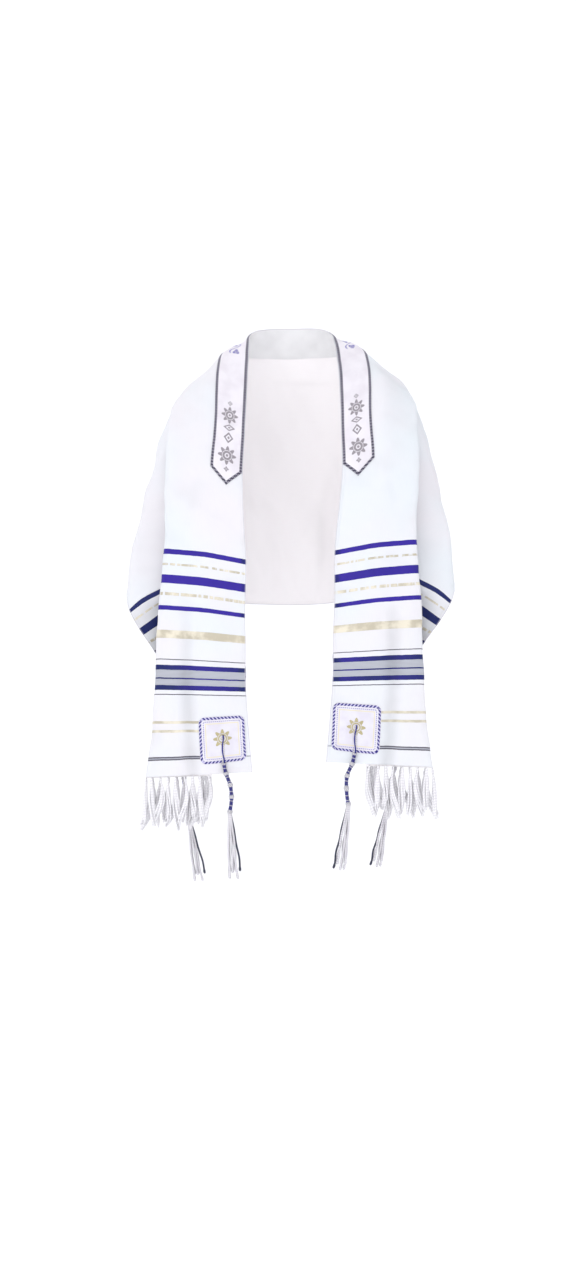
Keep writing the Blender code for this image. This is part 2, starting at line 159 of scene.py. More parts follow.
def scaled(value, factor, shift):
    # value times factor, plus shift
    return maths("MULTIPLY_ADD", value, factor, shift)


def opposite(value):
    # what is left of 1
    return maths("SUBTRACT", 1.0, value)


def times(first, *others):
    for other in others:
        first = maths("MULTIPLY", first, other)
    return first


def highest(first, *others):
    for other in others:
        first = maths("MAXIMUM", first, other)
    return first


def mixed(share, first, second):
    # first where share is 0, second where it is 1; either may be a colour or a socket
    node = share.id_data.nodes.new("ShaderNodeMix")
    node.data_type = "RGBA"
    return fed(node, {0: share, 6: first, 7: second}).outputs[2]


def noise(vector, scale, detail, stretch=None):
    # soft cloud noise about 0.5; stretch squeezes it along an axis
    nodes = vector.id_data.nodes
    if stretch:
        vector = fed(nodes.new("ShaderNodeMapping"), {"Vector": vector, "Scale": stretch}).outputs[0]
    node = nodes.new("ShaderNodeTexNoise")
    return fed(node, {"Vector": vector, "Scale": scale, "Detail": detail}).outputs["Fac"]


def rise(value, low, high):
    # smooth step of a socket from low to high
    node = value.id_data.nodes.new("ShaderNodeMapRange")
    node.interpolation_type = "SMOOTHSTEP"
    return fed(node, {"Value": value, "From Min": low, "From Max": high}).outputs[0]


def waves(value, pitch, turn=0.0):
    # 0.5 + 0.5 sin(2 pi value / pitch + turn)
    angle = scaled(value, 2 * math.pi / pitch, turn)
    return scaled(maths("SINE", angle), 0.5, 0.5)


def weave(along, across, pitch):
    # over and under threads: sin of one way times sin of the other, 0 to 1
    ways = [maths("SINE", times(way, 2 * math.pi / pitch)) for way in (along, across)]
    return scaled(times(*ways), 0.5, 0.5)


def bump(shader, height, depth):
    # a height of 0 to 1 as relief of that depth in metres
    node = height.id_data.nodes.new("ShaderNodeBump")
    fed(node, {"Height": height, "Distance": depth, "Strength": 1.0})
    fed(shader, {"Normal": node.outputs[0]})


def petals(along, across, middle, radius, count, inner=0.2):
    # a flower of rounded petals: inside r = radius (0.8 + 0.2 cos(count angle)), with two bare rings
    x = maths("SUBTRACT", along, middle[0])
    y = maths("SUBTRACT", across, middle[1])
    r = maths("SQRT", maths("ADD", times(x, x), times(y, y)))
    angle = times(maths("ARCTAN2", y, x), count)
    edge = scaled(maths("COSINE", angle), 0.2 * radius, 0.8 * radius)
    flower = maths("LESS_THAN", r, edge)
    ring = maths("COMPARE", r, inner * radius, 0.06 * radius)
    core = maths("COMPARE", r, 0.52 * radius, 0.03 * radius)
    return times(flower, opposite(highest(ring, core)))


def lozenge(along, across, middle, halfLong, halfWide):
    # the rim and heart of a diamond: |x| / long + |y| / wide from 0.62 to 1, or under 0.28
    x = maths("ABSOLUTE", maths("SUBTRACT", along, middle[0]))
    y = maths("ABSOLUTE", maths("SUBTRACT", across, middle[1]))
    span = scaled(x, 1 / halfLong, times(y, 1 / halfWide))
    return highest(maths("COMPARE", span, 0.81, 0.19), maths("LESS_THAN", span, 0.28))


# The cloth: one row per section across the half cloth, in mm: u, then x y z of the neck edge, the chest,
# the ridge of the front fold, the arm and the hem, with x counted outwards, then how far the arm swells.
cloth = {
    "length": 1.84, "width": 0.505, "wall": 0.0010, "columns": 385, "rows": 122, "fineRows": 253,
    "pleatStart": 0.240, "pleatWhole": 0.400, "pleatRoom": 0.013, "sectionSteps": 240, "cornerRound": 0.0085,
    "sections": np.array([
        (0, 0, 70, 0, 0, 104, -62, 0, 122, -140, 0, 140, -315, 0, 150, -490, 4),
        (46, 42, 55, -3, 44, 92, -56, 45, 116, -137, 46, 139, -314, 44, 150, -489, 4),
        (92, 66, 18, -15, 82, 55, -46, 86, 95, -127, 91, 131, -302, 86, 149, -486, 6),
        (140, 70, -22, -41, 102, 10, -40, 126, 64, -106, 138, 118, -284, 130, 144, -476, 8),
        (200, 71, -64, -88, 129, -39, -76, 166, 26, -101, 188, 96, -262, 180, 130, -452, 12),
        (270, 73, -96, -146, 149, -82, -127, 197, -18, -134, 226, 58, -258, 228, 95, -432, 14),
        (340, 76, -110, -211, 150, -109, -190, 208, -72, -180, 243, -4, -276, 258, 40, -448, 12),
        (412, 79, -117, -277, 149, -120, -262, 211, -98, -250, 257, -38, -340, 270, -5, -456, 8),
        (485, 77, -119, -348, 145, -124, -335, 212, -108, -326, 269, -58, -405, 276, -46, -464, 3),
        (520, 75, -120, -383, 143, -124, -369, 212, -111, -362, 264, -68, -448, 276, -66, -481, 1),
        (553, 73, -121, -418, 142, -125, -405, 213, -113, -399, 250, -78, -482, 271, -78, -500, 0),
        (600, 74, -117, -464, 144, -124, -453, 217, -114, -447, 196, -58, -498, 250, -80, -537, 0),
        (644, 75, -115, -507, 146, -123, -497, 222, -115, -492, 168, -34, -545, 228, -80, -569, 0),
        (685, 74, -120, -546, 146, -124, -539, 225, -115, -535, 148, -16, -585, 208, -68, -604, 0),
        (760, 74, -114, -617, 147, -122, -614, 227, -115, -612, 146, -8, -648, 200, 4, -660, 0),
        (840, 69, -122, -693, 146, -125, -693, 233, -114, -694, 148, -8, -714, 199, 57, -724, 0),
        (920, 63, -117, -768, 148, -122, -772, 243, -112, -777, 150, -5, -782, 203, 84, -788, 0),
    ]) * mm,
    # u, further out, higher up, on the wearer's left
    "rightSide": np.array([(0, 0, 0), (92, 2, 2), (140, 6, 6), (200, 10, 10), (270, 11, 13), (412, 8, 15),
                           (520, 2, 15), (685, -2, 17), (920, -3, 17)]) * mm,
    # u of a fold that hangs to the hem, half width, how far out, v where it begins
    "hangingFolds": np.array([
        (-472, 26, 2, 350), (-424, 28, -4, 330), (-372, 28, 8, 300), (-318, 27, -11, 230),
        (-262, 28, 14, 190), (-205, 28, -13, 180), (-148, 28, 12, 200), (-92, 27, -8, 230),
        (-34, 27, 7, 260), (52, 24, -9, 190), (104, 27, 10, 220), (158, 28, -12, 200),
        (214, 28, 14, 190), (270, 28, -13, 180), (326, 27, 11, 230),
        (380, 28, -8, 300), (432, 28, 3, 340)]) * mm,
    # side, v, half width, height, u where a fold down a front begins, is whole
    "frontFolds": np.array([
        (-1, 104, 13, -5, 600, 760), (-1, 134, 16, 2, 560, 720), (-1, 60, 26, 3, 430, 700),
        (1, 106, 13, -5, 590, 750), (1, 136, 16, 2, 560, 720), (1, 58, 26, 3, 430, 700)]),
    # soft creases: u and v of the middle, half length, half breadth, turn from u in degrees, height
    "creases": np.array([
        (28, 104, 52, 5, 3, -1.3), (-36, 316, 46, 9, 52, 2.4), (56, 400, 90, 10, 92, -3.2),
        (-70, 232, 70, 12, 78, 2.2), (96, 286, 70, 11, 104, 2.4), (-10, 410, 70, 9, 84, 2.2),
        (-232, 190, 110, 13, 112, 3.6), (-276, 238, 96, 11, 104, -3.4), (-204, 128, 60, 10, 128, -2.4),
        (-316, 186, 80, 12, 118, 2.8), (-356, 262, 84, 12, 98, 2.5), (240, 180, 108, 13, 66, 3.7),
        (288, 244, 92, 12, 78, -3.5), (206, 120, 62, 10, 50, -2.3), (330, 182, 80, 12, 62, 2.7),
        (362, 268, 80, 12, 84, 2.6), (-470, 92, 46, 9, 160, -0.8), (-560, 40, 38, 8, 150, 0.7),
        (470, 96, 48, 9, 22, -0.9), (566, 44, 36, 8, 30, 0.8), (-705, 70, 60, 9, 175, -0.9),
        (-812, 120, 44, 8, 166, 0.8), (712, 78, 58, 9, 6, 0.9), (806, 126, 46, 8, 14, -0.8),
        (-150, 280, 90, 11, 98, 2.8), (158, 296, 90, 11, 84, -2.7), (-640, 330, 70, 12, 30, 1.6),
        (648, 336, 72, 12, 150, 1.5), (-780, 380, 60, 11, 40, -1.2), (788, 388, 58, 11, 142, -1.2)]),
    # a faint unevenness everywhere: wave length along u, along v, height, phase
    "ripples": np.array([
        (171, 233, 0.42, 0.3), (-113, 197, 0.36, 1.9), (87, -151, 0.30, 4.1), (61, 131, 0.22, 2.6),
        (-47, 89, 0.15, 5.2), (39, -71, 0.12, 0.9), (31, 57, 0.09, 3.3), (-23, 43, 0.06, 1.2)]),
    # distances between threads and between stitches, where the hem's fold ends, the line of its stitches,
    # then the band along the rim where a painted grey shade line fades out
    "threads": 0.0019, "ribs": 0.0016, "silverThreads": 0.0021, "stitches": 0.0032, "hem": (0.0052, 0.0064),
    "stitchLine": 0.0044, "relief": 0.00035, "rimShadeLine": (0.0006, 0.0024),
    # mesh rows crowd at both turns of the pleat: how many more there, and how far round
    "crowd": 2.4, "crowdReach": 0.016,
    # the inner layer's white is painted much brighter than the outer ones, as painted light against the shade
    # inside the garment
    "whites": ("DBE0E4", "E0DDE1"), "insidePaintedBright": "FFFCFD", "rim": "BDB9C3",
    "blues": ("311F92", "16215C"), "gold": ("BDB5A2", "DFD8C6"), "grey": "605E68",
    "silver": ("9699A3", "B5B8C1"),
    # stripes, in mm from the centre back: middle, width
    "blueStripes": [(552.8, 8), (597.3, 14), (644.4, 7.3), (740.8, 8), (758.7, 2.4), (774.1, 8)],
    "goldStripes": [(686.5, 13), (831.6, 4.2), (846.2, 4.2)],
    "dashedStripes": [(573, 3.6), (621.7, 5)],
    "greyStripes": [(727.7, 1.6), (785.4, 1.6), (889.2, 2.2), (893.0, 2.2)],
    "silverStripes": [(757.4, 25.4), (891.1, 2.4)],
}


def wholeTable():
    # the half table mirrored to -X, and set out and up by rightSide on +X
    left = cloth["sections"][:0:-1].copy()
    left[:, [0, 1, 4, 7, 10, 13]] *= -1
    right = cloth["sections"].copy()
    shift = cloth["rightSide"]
    right[:, 1:16:3] += np.interp(right[:, 0], shift[:, 0], shift[:, 1])[:, None]
    right[:, 3:16:3] += np.interp(right[:, 0], shift[:, 0], shift[:, 2])[:, None]
    return np.vstack([left, right])


def tableAt(u, table, slopes):
    # cubic curve through the rows, whose slope at a row comes from the rows beside it
    knots = table[:, 0]
    i = np.clip(np.searchsorted(knots, u) - 1, 0, len(knots) - 2)
    span = (knots[i + 1] - knots[i])[:, None]
    t = (u - knots[i])[:, None] / span
    start = (1 + 2 * t) * (1 - t) ** 2 * table[i] + t * (1 - t) ** 2 * span * slopes[i]
    return start + t * t * (3 - 2 * t) * table[i + 1] + t * t * (t - 1) * span * slopes[i + 1]


def cornersAt(u, row, depth):
    # the corners of each section for a given depth of the pleat behind the front fold
    neck, chest, ridge, arm, hem = (row[:, 1 + 3 * i:4 + 3 * i] for i in range(5))
    side = np.where(u < 0, -1.0, 1.0)[:, None]
    back = smoothStep(cloth["pleatStart"], cloth["pleatWhole"], np.abs(u))[:, None] * cloth["pleatRoom"]
    back = np.array([0, 1.0, -0.2]) * back
    behind = ridge + back
    valley = behind + (side * np.array([-1.0, 0, 0]) + np.array([0, 0, 0.03])) * depth[:, None]
    out = unit(arm * np.array([1.0, 1.0, 0]) + np.array([0, 0.05, 0]))
    swell = (valley + back + arm) / 2 + out * row[:, 16:17]
    return np.stack([neck, chest, ridge, behind, valley, valley + back, swell, arm, hem], axis=1)


def distances(lines):
    # running length along each line, from 0
    steps = np.linalg.norm(np.diff(lines, axis=1), axis=2)
    return np.concatenate([np.zeros((len(lines), 1)), steps.cumsum(axis=1)], axis=1)


def readAlong(known, places, values):
    # straight-line reading of values at places, row by row, where known grows along each row; every row is
    # lifted 10 above the one before, so that one search serves them all
    lift = np.arange(len(known))[:, None] * 10.0
    at = np.searchsorted((known + lift).ravel(), places + lift, side="right") - 1
    at = np.clip(at - np.arange(len(known))[:, None] * known.shape[1], 0, known.shape[1] - 2)
    low = np.take_along_axis(known, at, 1)
    share = (places - low) / np.maximum(np.take_along_axis(known, at + 1, 1) - low, 1e-9)
    share = np.clip(share, 0, 1)[:, :, None]
    first = np.take_along_axis(values, at[:, :, None], 1)
    return first + (np.take_along_axis(values, at[:, :, None] + 1, 1) - first) * share


def solvedCorners(u):
    # the depth of pleat is the one at which the section is as long as the cloth is wide, found by halving
    table = wholeTable()
    row = tableAt(u, table, np.gradient(table, table[:, 0], axis=0))
    low, high = np.zeros(len(u)), np.full(len(u), 0.3)
    for _ in range(34):
        depth = (low + high) / 2
        length = distances(cornersAt(u, row, depth))[:, -1]
        high = np.where(length > cloth["width"], depth, high)
        low = np.where(length > cloth["width"], low, depth)
    return cornersAt(u, row, low * smoothStep(cloth["pleatStart"], cloth["pleatWhole"], np.abs(u)))


def roundedLines(corners):
    # each section as evenly spaced points, blurred by a bell; past an end it is carried on turned about it
    count = cloth["sectionSteps"]
    along = distances(corners)
    lines = readAlong(along, np.linspace(0, 1, count) * along[:, -1:], corners)
    step = cloth["width"] / (count - 1)
    reach = int(4 * cloth["cornerRound"] / step)
    weights = np.exp(-0.5 * (np.arange(-reach, reach + 1) * step / cloth["cornerRound"]) ** 2)
    before = 2 * lines[:, :1] - lines[:, reach:0:-1]
    after = 2 * lines[:, -1:] - lines[:, -2:-reach - 2:-1]
    whole = np.concatenate([before, lines, after], axis=1)
    return sum(w * whole[:, i:i + count] for i, w in enumerate(weights / weights.sum()))


def outwards(surface):
    # unit normal: slope along u crossed with slope along v
    return unit(np.cross(np.gradient(surface, axis=0), np.gradient(surface, axis=1)))


def foldHeight(u, v, hanging=True):
    # bells, e to the minus distance squared: hanging folds grow to the hem, front folds run down the fronts,
    # creases lie at an angle, and ripples are sines
    height = np.zeros((u + v).shape)
    for middle, half, out, top in cloth["hangingFolds"] if hanging else []:
        height += out * np.exp(-((u - middle) / half) ** 2) * smoothStep(top, cloth["width"] + 0.06, v)
    for side, middle, half, out, start, whole in cloth["frontFolds"]:
        here = np.where(u * side > 0, smoothStep(start, whole, np.abs(u) / mm), 0)
        height += mm * out * here * np.exp(-((v / mm - middle) / half) ** 2)
    for midU, midV, long, broad, turn, out in cloth["creases"]:
        a, b = u / mm - midU, v / mm - midV
        c, s = math.cos(math.radians(turn)), math.sin(math.radians(turn))
        height += mm * out * np.exp(-((a * c + b * s) / long) ** 2 - ((b * c - a * s) / broad) ** 2)
    for lengthU, lengthV, out, phase in cloth["ripples"]:
        height += mm * out * np.sin(2 * math.pi * (u / mm / lengthU + v / mm / lengthV) + phase)
    return height


def clothSurface():
    # points and normals on a fine even grid, and the v of each mesh row, close together at both turns
    u = np.linspace(-cloth["length"] / 2, cloth["length"] / 2, cloth["columns"])
    v = np.linspace(0, cloth["width"], cloth["fineRows"])
    corners = solvedCorners(u)
    lines = roundedLines(corners)
    along = distances(lines)
    plain = readAlong(along, v[None, :] / cloth["width"] * along[:, -1:], lines)
    surface = plain + outwards(plain) * foldHeight(u[:, None], v[None, :])[:, :, None]
    turns = distances(corners)
    turns = turns * (cloth["width"] / turns[:, -1:])
    fold = smoothStep(cloth["pleatStart"], cloth["pleatWhole"], np.abs(u))[:, None]
    ridge = (turns[:, 2:3] + turns[:, 3:4]) / 2
    valley = (turns[:, 4:5] + turns[:, 5:6]) / 2
    bells = sum(np.exp(-((v - middle) / cloth["crowdReach"]) ** 2) for middle in (ridge, valley))
    crowd = 1 + cloth["crowd"] * fold * bells
    filled = np.concatenate([np.zeros((len(u), 1)), crowd[:, 1:].cumsum(axis=1)], axis=1)
    wanted = np.linspace(0, 1, cloth["rows"]) * filled[:, -1:]
    every = np.tile(v[None, :, None], (len(u), 1, 1))
    rows = readAlong(filled / filled[:, -1:], wanted / filled[:, -1:], every)
    return u, v, surface, outwards(surface), rows[:, :, 0]


gridU, gridV, clothMiddle, clothNormal, rowV = clothSurface()
print("cloth surface worked out")


def onCloth(u, v):
    # points and normals at any u and v, read between four points of the fine grid
    x = (u + cloth["length"] / 2) / cloth["length"] * (len(gridU) - 1)
    y = v / cloth["width"] * (len(gridV) - 1)
    i = np.clip(np.floor(x).astype(int), 0, len(gridU) - 2)
    j = np.clip(np.floor(y).astype(int), 0, len(gridV) - 2)
    x, y = (x - i)[..., None], (y - j)[..., None]

    def read(grid):
        low = grid[i, j] * (1 - y) + grid[i, j + 1] * y
        return low * (1 - x) + (grid[i + 1, j] * (1 - y) + grid[i + 1, j + 1] * y) * x

    return read(clothMiddle), unit(read(clothNormal))


def clothPaint():
    # woven white with blue, gold, grey and silver stripes that run across the cloth at set distances
    paint, tree, shader = newPaint("clothWhite", 0.78, 0.0)
    spot, along, across = clothPlaces(tree)
    slub = noise(spot, 60, 4, (1, 14, 1))
    # distance from the centre back, shaken by up to half a millimetre
    shake = maths("SUBTRACT", noise(spot, 90, 2), 0.5)
    away = scaled(shake, 0.0009, maths("ABSOLUTE", along))

    def inside(stripes):
        return highest(*(maths("COMPARE", away, middle * mm, width * mm / 2) for middle, width in stripes))

    colour = mixed(rise(noise(spot, 5, 3), 0.3, 0.7), *dyes(cloth["whites"]))
    # painted light: the inner layer is painted much brighter than the outer whites, making up for the shade
    # inside the garment
    colour = mixed(attribute(tree, "inside"), colour, dye(cloth["insidePaintedBright"]))
    goldColour = mixed(rise(noise(spot, 46, 3, (1, 0.8, 1)), 0.38, 0.62), *dyes(cloth["gold"]))
    silver = times(inside(cloth["silverStripes"]), 0.92)
    threads = waves(along, cloth["silverThreads"])
    colour = mixed(silver, colour, mixed(threads, *dyes(cloth["silver"])))
    # past 0.8 m the lines stop short of the rim that shows beside the patches
    lined = opposite(times(maths("GREATER_THAN", away, 0.80), maths("LESS_THAN", across, 0.010)))
    gold = times(inside(cloth["goldStripes"]), lined)
    dash = rise(noise(spot, 150, 1, (0.15, 1, 1)), 0.38, 0.50)
    gold = highest(gold, times(inside(cloth["dashedStripes"]), dash))
    colour = mixed(gold, colour, goldColour)
    colour = mixed(times(inside(cloth["greyStripes"]), lined), colour, dye(cloth["grey"]))
    blue = inside(cloth["blueStripes"])
    # violet turns to navy in clouds, towards the hem, towards the ends and at the very neck edge
    deep = scaled(noise(spot, 9, 2), 0.9, rise(across, 0.10, 0.30))
    deep = scaled(rise(away, 0.70, 0.73), 0.28, deep)
    deep = scaled(rise(across, 0.016, 0.004), 0.35, deep)
    colour = mixed(blue, colour, mixed(rise(deep, 0.42, 0.95), *dyes(cloth["blues"])))
    edge = maths("MINIMUM", across, maths("SUBTRACT", cloth["width"], across))
    # painted shade: a grey line along both long edges, fading out within a few millimetres of the rim
    rim = opposite(rise(edge, *cloth["rimShadeLine"]))
    colour = mixed(times(rim, 0.55), colour, dye(cloth["rim"]))
    fine = scaled(slub, -0.05, 1.025)
    # besides the slub's tone the colour carries painted shade: it is darkened in the troughs of folds and
    # creases
    fine = scaled(attribute(tree, "paintedFoldShade"), -0.3, fine)
    slubAndFoldShade = tree.nodes.new("ShaderNodeVectorMath")
    slubAndFoldShade.operation = "SCALE"
    fed(slubAndFoldShade, {0: colour, "Scale": fine})
    satin = highest(blue, gold, silver)
    fed(shader, {"Base Color": slubAndFoldShade.outputs[0], "Metallic": times(gold, 0.2),
                 "Roughness": scaled(satin, -0.38, 0.82)})
    ribs = times(waves(across, cloth["ribs"]), satin)
    raised = scaled(weave(along, across, cloth["threads"]), 0.30, times(slub, 0.5))
    raised = maths("ADD", raised, times(satin, 0.35))
    raised = scaled(ribs, 0.35, raised)
    hem = opposite(rise(edge, *cloth["hem"]))
    line = maths("COMPARE", edge, cloth["stitchLine"], 0.0004)
    stitch = times(line, waves(along, cloth["stitches"]))
    raised = scaled(stitch, -0.8, scaled(hem, 0.6, raised))
    bump(shader, raised, cloth["relief"])
    return paint


def clothPiece():
    known = np.tile(gridV, (len(gridU), 1))
    middle = readAlong(known, rowV, clothMiddle)
    normal = unit(readAlong(known, rowV, clothNormal))
    uv = np.stack([np.repeat(gridU[:, None], cloth["rows"], axis=1), rowV], axis=2)
    half = normal * cloth["wall"] / 2
    # painted shade: how much a fold darkens the cloth's colour in its trough, nothing at its own level, 0.5
    # at 5 mm deep
    paintedFoldShade = np.clip(-foldHeight(uv[..., 0], rowV, False) / 0.010, 0, 0.6)
    piece = closedSheet("shawlCloth", middle + half, middle - half, clothPaint(), uv, {"paintedFoldShade": paintedFoldShade})
    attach(piece, "root")
    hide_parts("shawl_back", "shawl_shoulder_left", "shawl_shoulder_right", "shawl_front_left",
                "shawl_front_right")
    return piece


shawlCloth = clothPiece()
print("cloth made")

# The neckband: a strip along the neck edge with a pointed end on each front.
neckband = {
    "start": 0.0015, "width": 0.056, "shoulder": 0.404, "tip": 0.430, "step": 0.0021, "across": 27,
    "gap": 0.0003, "wall": 0.0009, "borderRise": 0.0003, "border": 0.0046, "bevel": (0.0005, 0.0012),
    "ground": ("E3DFE5", "DAD5DC"), "borderColours": ("3F3B4C", "B4B0BD"), "motif": ("7D777F", "A9A3A8"),
    "vine": ("453E9C", "7A74BE"), "vineEnd": 0.170, "vineWave": 0.044, "vineSwing": 0.0095, "stem": 0.0011,
    "leaf": 0.0072, "leafOut": 0.0035, "threads": 0.0016, "satinThreads": 0.0013, "relief": 0.0004,
    # generic motifs in mm down each front: distance from the centre back, radius, petals
    "flowers": [(306, 15.5, 8), (379, 16.5, 8), (403, 4.5, 4)],
    # distance, half length, half width
    "lozenges": [(329, 6, 11), (347, 10, 9), (284, 4.5, 4.5)],
}


def neckbandPaint():
    paint, tree, shader = newPaint("neckbandWeave", 0.7, 0.15)
    spot, along, across = clothPlaces(tree)
    away = maths("ABSOLUTE", along)
    edge = attribute(tree, "edge")
    colour = mixed(rise(noise(spot, 30, 3), 0.35, 0.7), *dyes(neckband["ground"]))
    flowers = [petals(away, across, (place * mm, 0.0), radius * mm, count)
               for place, radius, count in neckband["flowers"]]
    lozenges = [lozenge(away, across, (place * mm, 0.0), long * mm, wide * mm)
                for place, long, wide in neckband["lozenges"]]
    motif = highest(*flowers, *lozenges)
    satin = waves(maths("ADD", away, times(across, 0.7)), neckband["satinThreads"])
    colour = mixed(motif, colour, mixed(satin, *dyes(neckband["motif"])))
    # a running vine over the nape: a wavy stem, and a leaf in each hollow of it
    pitch = neckband["vineWave"]
    wave = maths("SINE", times(along, 2 * math.pi / pitch))
    stem = maths("COMPARE", times(wave, neckband["vineSwing"]), across, neckband["stem"])
    cell = maths("SUBTRACT", maths("FLOORED_MODULO", along, pitch / 2), pitch / 4)
    turned = times(maths("SIGN", wave), across)
    leaf = petals(cell, turned, (0.0, -neckband["leafOut"]), neckband["leaf"], 3, 0.3)
    vine = times(highest(stem, leaf), maths("LESS_THAN", away, neckband["vineEnd"]))
    colour = mixed(vine, colour, mixed(satin, *dyes(neckband["vine"])))
    border = maths("LESS_THAN", edge, neckband["border"])
    knots = times(waves(along, 0.0054), waves(edge, 0.0023, -1.2))
    speckled = mixed(rise(knots, 0.30, 0.5), *dyes(neckband["borderColours"]))
    colour = mixed(border, colour, speckled)
    fed(shader, {"Base Color": colour})
    work = highest(motif, vine, border)
    raised = scaled(work, 0.5, times(weave(along, across, neckband["threads"]), 0.25))
    raised = scaled(times(satin, work), 0.3, raised)
    bump(shader, raised, neckband["relief"])
    return paint


def neckbandPiece():
    # v keeps to the strip's rows and draws in to its middle line between shoulder and tip
    s = neckband
    shoulder, tip, wide = s["shoulder"], s["tip"], s["width"] / 2
    long = tip - shoulder
    point = np.linspace(shoulder, tip, 15)[1:]
    half = np.concatenate([np.linspace(0, shoulder, int(shoulder / s["step"])), point])
    u = np.concatenate([-half[:0:-1], half])[:, None]
    share = np.clip((np.abs(u) - shoulder) / long, 0, 0.985)
    t = np.linspace(-wide, wide, s["across"])[None, :] * (1 - share)
    u = np.broadcast_to(u, t.shape)
    middle, normal = onCloth(u, s["start"] + wide + t)
    # distance from the slanted rim of the point, as twice an area over the rim's length
    slanted = ((tip - np.abs(u)) * wide - np.abs(t) * long) / math.hypot(long, wide)
    edge = np.minimum(wide - np.abs(t), slanted)
    low = cloth["wall"] / 2 + s["gap"]
    high = low + s["wall"] + s["borderRise"] * (1 - smoothStep(s["border"] * 0.85, s["border"] * 1.15, edge))
    high = high - bevel(edge, *s["bevel"])
    piece = closedSheet("neckbandStrip", middle + normal * high[..., None], middle + normal * low,
                        neckbandPaint(), np.stack([u, t], axis=2), {"edge": edge})
    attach(piece, "root")
    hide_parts("neckband")
    return piece


# The facing inside the nape.
facing = {"reach": 0.115, "start": 0.0015, "width": 0.056, "gap": 0.0003, "wall": 0.0009, "step": 0.003,
          "across": 17, "greys": ("F3F3F4", "E9E9EA"), "twill": 0.0018, "stitchLine": 0.0028,
          "stitches": 0.0034, "relief": 0.0004, "bevel": (0.0005, 0.0015)}


def facingPiece():
    paint, tree, shader = newPaint("facingTwill", 0.75, 0.15)
    spot, along, across = clothPlaces(tree)
    twill = waves(maths("ADD", along, across), facing["twill"])
    fed(shader, {"Base Color": mixed(rise(noise(spot, 24, 3), 0.3, 0.75), *dyes(facing["greys"]))})
    line = maths("COMPARE", attribute(tree, "edge"), facing["stitchLine"], 0.0005)
    stitch = times(line, waves(along, facing["stitches"]))
    bump(shader, scaled(stitch, -1.0, times(twill, 0.5)), facing["relief"])
    s = facing
    u = np.linspace(-s["reach"], s["reach"], int(2 * s["reach"] / s["step"]))[:, None]
    t = np.linspace(0, s["width"], s["across"])[None, :]
    u, t = np.broadcast_arrays(u, t)
    middle, normal = onCloth(u, s["start"] + t)
    edge = np.minimum(np.minimum(t, s["width"] - t), s["reach"] - np.abs(u))
    low = cloth["wall"] / 2 + s["gap"]
    far = low + s["wall"] - bevel(edge, *s["bevel"])
    piece = closedSheet("neckFacing", middle - normal * low, middle - normal * far[..., None], paint,
                        np.stack([u, t], axis=2), {"edge": edge})
    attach(piece, "root")
    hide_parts("neck_facing")
    return piece


neckbandSheet = neckbandPiece()
facingSheet = facingPiece()
print("neckband and facing made")

# The four corner patches.
patch = {
    "round": 0.0105, "gap": 0.0004, "wall": 0.0011, "steps": 57, "eyelet": 0.853, "bevel": (0.0006, 0.0014),
    # name, node, side, u and v of the middle, half size, slope of the top edge, of the sides
    "each": [("patchFrontLeft", "patch_front_left", -1, 0.861, 0.0465, 0.0398, 0.066, 0.025),
             ("patchFrontRight", "patch_front_right", 1, 0.859, 0.0470, 0.0418, 0.070, 0.035),
             ("patchRearLeft", "patch_rear_left", -1, 0.862, 0.4600, 0.0410, 0.0, 0.0),
             ("patchRearRight", "patch_rear_right", 1, 0.862, 0.4600, 0.0410, 0.0, 0.0)],
    "ground": ("DFDDE4", "D5D1DC"), "borderColours": ("C4C0DE", "2E2A78"), "line": "8C84C2",
    "goldLine": "DDD3B0", "gold": ("A0956F", "CFC59F"), "relief": 0.0004,
    # distance from the rim and half width of the border, the dotted line and the gold line
    "lines": [(0.0028, 0.0021), (0.0082, 0.0006), (0.0118, 0.0008)],
    "dashes": 0.0062, "dots": 0.0034, "threads": 0.0017, "satinThreads": 0.0012, "flower": 0.0162,
}


def patchPaint():
    # a dashed violet border, a fine dotted line and a pale gold line inside it, and one small gold flower
    paint, tree, shader = newPaint("patchWeave", 0.68, 0.2)
    spot, along, across = clothPlaces(tree)
    edge = attribute(tree, "edge")
    about = attribute(tree, "round")
    border, line, goldLine = (maths("COMPARE", edge, place, half) for place, half in patch["lines"])
    colour = mixed(rise(noise(spot, 40, 3), 0.3, 0.7), *dyes(patch["ground"]))
    colour = mixed(times(goldLine, 0.8), colour, dye(patch["goldLine"]))
    line = times(line, maths("GREATER_THAN", waves(about, patch["dots"]), 0.35))
    colour = mixed(line, colour, dye(patch["line"]))
    dash = rise(waves(scaled(edge, 0.9, about), patch["dashes"]), 0.30, 0.52)
    colour = mixed(border, colour, mixed(dash, *dyes(patch["borderColours"])))
    middle = petals(along, across, (-0.002, 0.0), patch["flower"], 8, 0.28)
    satin = waves(maths("ADD", along, times(across, 0.6)), patch["satinThreads"])
    colour = mixed(middle, colour, mixed(satin, *dyes(patch["gold"])))
    fed(shader, {"Base Color": colour, "Metallic": times(middle, 0.35)})
    work = highest(border, middle, line)
    raised = scaled(work, 0.5, times(weave(along, across, patch["threads"]), 0.25))
    raised = scaled(times(highest(satin, dash), work), 0.3, raised)
    bump(shader, raised, patch["relief"])
    return paint


